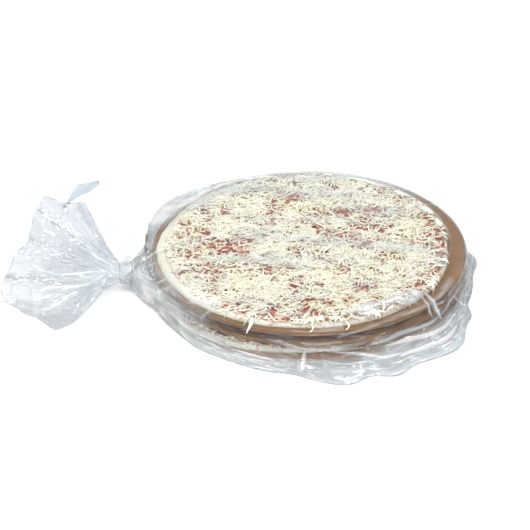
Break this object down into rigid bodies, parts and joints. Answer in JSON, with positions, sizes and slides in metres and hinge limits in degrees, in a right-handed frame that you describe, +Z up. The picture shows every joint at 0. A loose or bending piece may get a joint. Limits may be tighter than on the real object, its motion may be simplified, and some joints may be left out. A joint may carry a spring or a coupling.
{
  "type": "bagged cheese pizzas",
  "caption": "Raw thin-crust cheese pizzas stacked on round kraft boards, sealed in a clear film bag that is gathered and taped at a neck, with a loose flared end.",
  "frame": {"origin": "under the middle of the boards, on the surface that the bag lies on", "axes": "+Z up through the stack, the neck and the loose end of the bag point to -X, and the side towards the viewer is -Y"},
  "size_m": [0.4637, 0.3573, 0.0817],
  "materials": {
    "film": "thin clear film, glossy and creased",
    "tape": "narrow translucent tape",
    "cheese": "stands for shredded pale cheese, soft and slightly waxy",
    "sauce": "stands for thin tomato sauce, moist and lumpy",
    "dough": "stands for pale raw dough, matt and floury",
    "board": "kraft corrugated board, matt"
  },
  "bodies": {
    "root": {"bag": "film", "neck_tape": "tape"}
  },
  "joints": []
}
